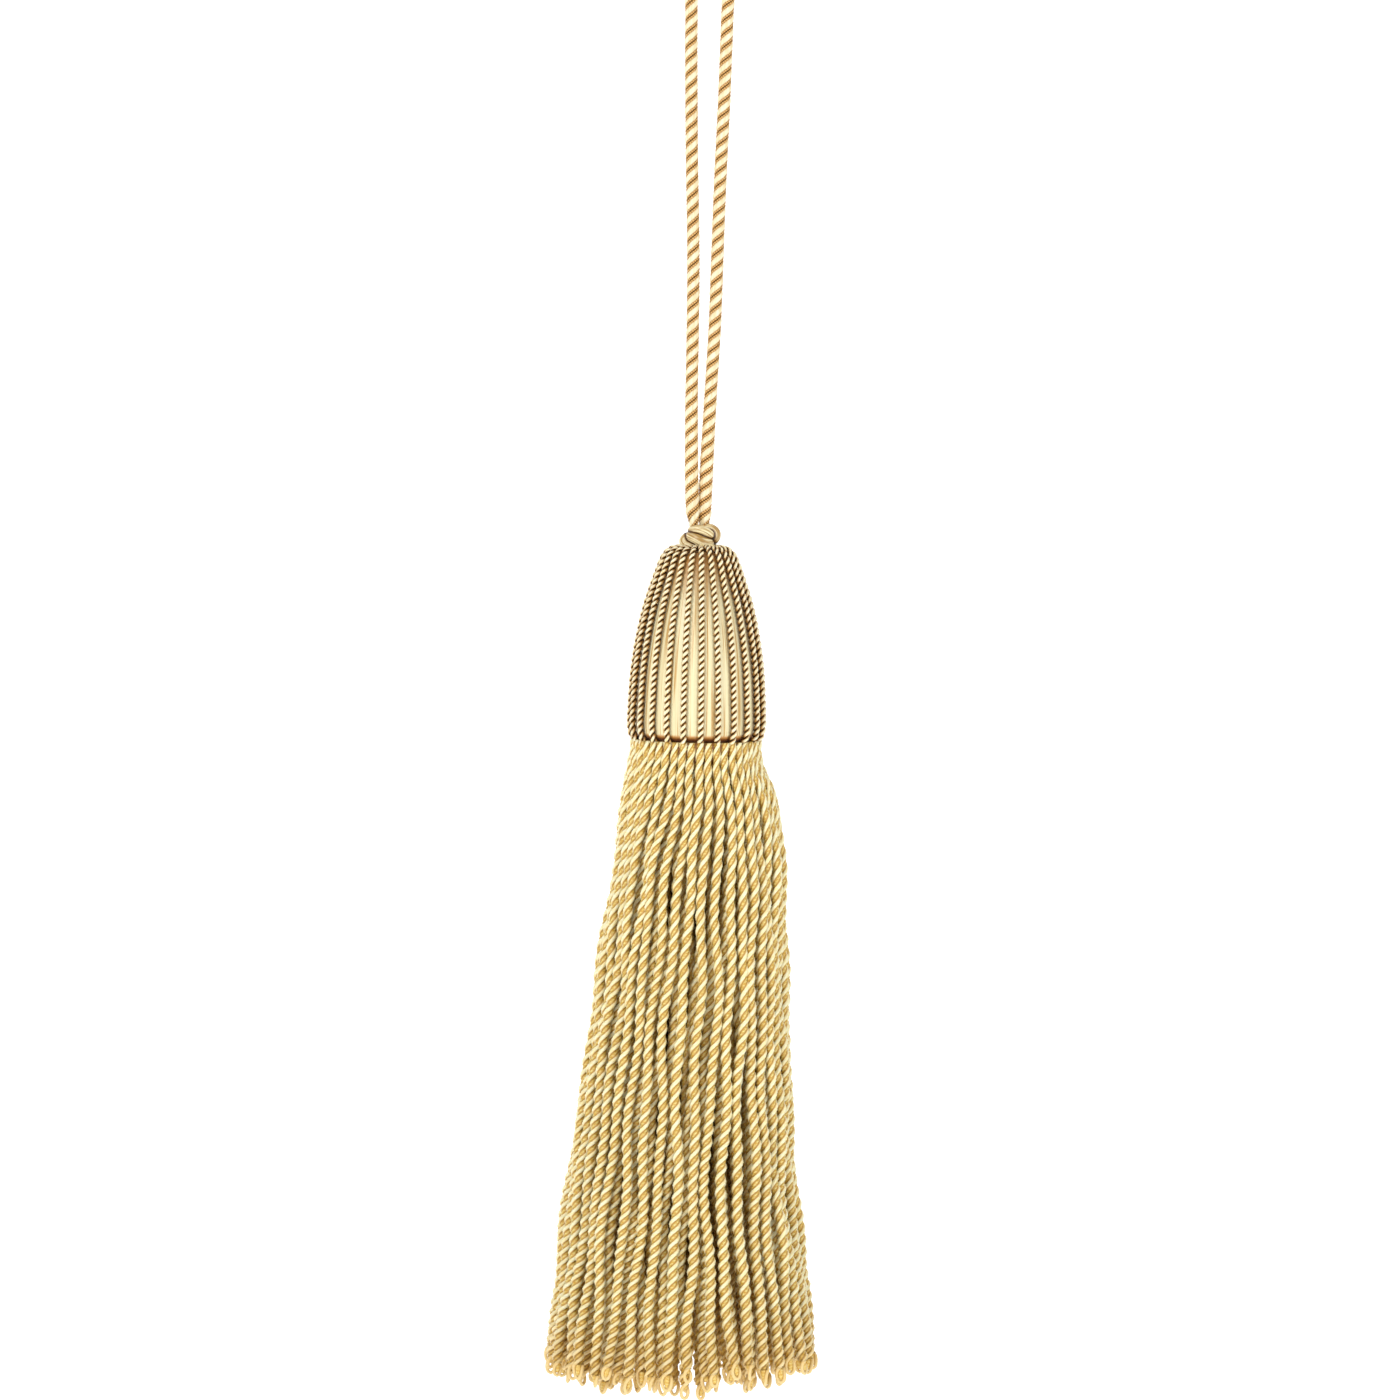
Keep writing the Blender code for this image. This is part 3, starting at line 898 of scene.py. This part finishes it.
def inner_lines():
    """The same for the strands that fill the inside."""
    rng = random.Random(SEED + 4)
    lines = []
    for count, root, upper, lower, tone, detail in INNER_RINGS:
        for number in range(count):
            angle = math.tau * (number + rng.uniform(-INNER_SCATTER, INNER_SCATTER)) / count
            end = SKIRT_LENGTH - rng.uniform(*INNER_SHORTER)
            points = []
            for station in STRAND_STATIONS:
                drop = station * SKIRT_LENGTH
                shift, half = outline_at(drop)
                spread = ease((drop - SPREAD_START) / SPREAD_DROP)
                share = upper + (lower - upper) * ease(station)
                radius = root * (1 - spread) + share * half * spread
                x = shift * spread + radius * math.cos(angle)
                points.append((x, radius * math.sin(angle), -HEADING_TOP - station * (end - HEADING_TOP)))
            lines.append((tone, detail, points))
    return lines


def strand_line(points, depth, detail, rng):
    """A strand's line down to its loop, with its turns and its last half pitch. It sways a little, and has
    more points where it twists more."""
    full = smooth(on_head(np.array(points) - np.array([0.0, 0.0, HEAD_HEIGHT])), STRAND_STEP)
    line = full[distances(full) <= distances(full)[-1] - depth]
    along = distances(line)
    sway = SWAY * np.minimum(1.0, along / SWAY_DROP)
    for axis, waves in enumerate(SWAY_WAVES):
        line[:, axis] += sway * sum(np.sin(along / wave + rng.uniform(0, math.tau)) for wave in waves)
    half_pitch = (HALF_PITCH_TOP - HALF_PITCH_FALL * along) * rng.uniform(*HALF_PITCH_SPREAD)
    turns = np.concatenate([[0.0], np.cumsum(np.diff(along) / (2 * half_pitch[1:]))])
    at = np.linspace(0.0, turns[-1], round(turns[-1] * 2 * STRAND_DETAIL[detail][0]))
    line = np.stack([np.interp(at, turns, line[:, axis]) for axis in range(3)], axis=1)
    return line, at + rng.random(), half_pitch[-1]


def loop_line(end, tangent, out, rate, size):
    """The ply that ends a strand: down one side, round the bottom and up the other side, turning a
    little."""
    over = np.cross(tangent, out)
    half_loop = smooth(END_LOOP, LOOP_STEP)
    points = []
    for side, rows in ((1.0, half_loop), (-1.0, half_loop[-2::-1])):
        for fall, half in rows:
            turn = rate * (1 - math.exp(-fall))
            aside = out * math.cos(turn) + over * math.sin(turn)
            points.append(end + tangent * fall * size + aside * half * size * side)
    return np.array(points)


def bullion_strand(weave, number, points, tone, detail, rng):
    """The two plies are ridges on the core down to the loop, where one ply runs on round and comes up as
    the other."""
    size = rng.uniform(*LOOP_SIZES)
    line, turns, half_pitch = strand_line(points, END_LOOP[-1][0] * size, detail, rng)
    section = np.array(FULL_SECTION if STRAND_DETAIL[detail][1] else SPARE_SECTION)
    degrees, radii, tones, finish = np.vstack([section, section + np.array([180.0, 0.0, 0.0, 0.0])]).T
    angles = np.radians(degrees)
    along = distances(line)
    girth = rng.uniform(*GIRTH_SPREAD) * np.interp(along, *np.array(STRAND_GIRTHS).T)
    ring = spokes(line, math.tau * turns[:, None] + angles[None])
    places = line[:, None] + ring * (girth[:, None] * radii[None])[:, :, None]
    end = line[-1]

    # Painted shade: the strand's tone comes to END_TONE near its end
    def lit(part):
        near = np.clip(1.0 - np.linalg.norm(part - end, axis=1) / END_LIT, 0.0, 1.0)
        return (tone + (END_TONE - tone) * near)[:, None]

    weave.grid(places, tube_grain(angles, along, number), lit(line) * tones[None], finish.astype(int))
    tangent = end - line[-2]
    tangent /= np.linalg.norm(tangent)
    loop = loop_line(end, tangent, ring[-1, 0], math.pi / half_pitch, size)
    weave.tube(loop, PLY_RADIUS, PLY_SIDES, 0, LOOP_TONE * lit(loop), PLY_LAY, number)
    falls, core_radii = np.array(OPEN_CORE_END if rng.random() < OPEN_SHARE else CORE_END).T
    core = end + tangent * falls[:, None] * size
    weave.tube(core, core_radii, CORE_SIDES, 1, lit(core), CORE_LAY, number)


def skirt():
    lines = strand_lines() + inner_lines()
    rng = random.Random(SEED + 3)
    cream = thread("bullion cream", BULLION_CREAM, roughness=0.42, fine=2.4, lengthwise=1.6, relief=0.3)
    gold = thread(
        "bullion gold",
        BULLION_GOLD,
        roughness=0.4,
        fine=2.4,
        lengthwise=2.4,
        relief=0.5,
        ticks=1.3,
        tick_share=0.15,
    )
    share = math.ceil(len(lines) / STRAND_PIECES)
    for piece in range(STRAND_PIECES):
        weave = Weave()
        for number in range(piece * share, min(len(lines), (piece + 1) * share)):
            tone, detail, points = lines[number]
            # The ring's tone is painted shade, and the random share is the strand's own tone
            bullion_strand(weave, number, points, tone * rng.uniform(*TONES), detail, rng)
        weave.build(f"bullion_strands_{piece + 1}", [cream, gold], ["skirt"])


def skirt_heading():
    """The ochre band that the strands' roots come out of."""
    angles = np.arange(HEADING_COLUMNS) * math.tau / HEADING_COLUMNS
    rows = []
    grains = []
    for drop, radius in reversed(HEADING_PROFILE):
        height = np.full(len(angles), -HEAD_HEIGHT - drop)
        rows.append(np.stack([radius * np.cos(angles), radius * np.sin(angles), height], axis=-1))
        lean = angles + drop / HEADING_LEAN
        x = GRAIN_RADIUS * np.cos(lean)
        y = GRAIN_RADIUS * np.sin(lean)
        grains.append(np.stack([x, y, height * HEADING_GRAIN], axis=-1))
    weave = Weave()
    weave.grid(on_head(np.array(rows)), np.array(grains), HEADING_TONE)
    ochre = thread("heading ochre", HEADING_OCHRE, roughness=0.5, fine=1.3, lengthwise=1.0, relief=0.6)
    weave.build("skirt_heading", [ochre], ["skirt"])


# Camera, lights and stage


def camera():
    data = bpy.data.cameras.new("camera")
    data.sensor_width = SENSOR_WIDTH
    data.lens = SENSOR_WIDTH * CAMERA_DISTANCE / VIEW_WIDTH
    data.clip_start = CLIP_START
    made = bpy.data.objects.new("camera", data)
    bpy.context.collection.objects.link(made)
    x, y, z = CAMERA_TARGET
    away = CAMERA_DISTANCE * math.cos(CAMERA_ELEVATION)
    rise = CAMERA_DISTANCE * math.sin(CAMERA_ELEVATION)
    made.location = (x * MM, (y - away) * MM, (z + rise) * MM)
    made.rotation_euler = (math.pi / 2 - CAMERA_ELEVATION, 0.0, 0.0)
    bpy.context.scene.camera = made


def area_light(name, place, aim, size, power):
    data = bpy.data.lights.new(name, "AREA")
    data.shape = "DISK"
    data.size = size
    data.energy = power
    made = bpy.data.objects.new(name, data)
    bpy.context.collection.objects.link(made)
    made.location = place
    x, y, z = (aim[i] - place[i] for i in range(3))
    made.rotation_euler = (math.atan2(math.hypot(x, y), -z), 0.0, math.atan2(x, -y) + math.pi)


def stage():
    """A white floor that curves up into a white backdrop, both further off than any camera."""
    side = [(STAGE_FRONT, STAGE_FLOOR)]
    for step in range(STAGE_BEND_STEPS + 1):
        angle = math.pi / 2 * step / STAGE_BEND_STEPS
        y = STAGE_BACK - STAGE_BEND + STAGE_BEND * math.sin(angle)
        side.append((y, STAGE_FLOOR + STAGE_BEND - STAGE_BEND * math.cos(angle)))
    side.append((STAGE_BACK, STAGE_TOP))
    points = [(x, y, z) for y, z in side for x in (-STAGE_HALF_WIDTH, STAGE_HALF_WIDTH)]
    faces = [(2 * k, 2 * k + 1, 2 * k + 3, 2 * k + 2) for k in range(len(side) - 1)]
    mesh = bpy.data.meshes.new("floor")
    mesh.from_pydata(points, [], faces)
    mesh.polygons.foreach_set("use_smooth", [True] * len(faces))
    white = bpy.data.materials.new("white")
    white.use_nodes = True
    shader = white.node_tree.nodes["Principled BSDF"]
    shader.inputs["Base Color"].default_value = (STAGE_WHITE, STAGE_WHITE, STAGE_WHITE, 1.0)
    shader.inputs["Roughness"].default_value = STAGE_ROUGHNESS
    shader.inputs["Emission Color"].default_value = (1.0, 1.0, 1.0, 1.0)
    shader.inputs["Emission Strength"].default_value = STAGE_GLOW
    mesh.materials.append(white)
    made = bpy.data.objects.new("floor", mesh)
    bpy.context.collection.objects.link(made)


def lights():
    scene = bpy.context.scene
    world = bpy.data.worlds.new("white")
    scene.world = world
    world.use_nodes = True
    background = world.node_tree.nodes["Background"]
    background.inputs["Color"].default_value = (1.0, 1.0, 1.0, 1.0)
    background.inputs["Strength"].default_value = WORLD_LIGHT
    for name, (place, size, power) in LAMPS.items():
        area_light(name, place, LAMP_AIM, size, power)
    scene.view_settings.view_transform = "Standard"


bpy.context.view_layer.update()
camera()
hanging_cord()
knot()
head_satin()
head_cords()
skirt()
skirt_heading()
stage()
lights()
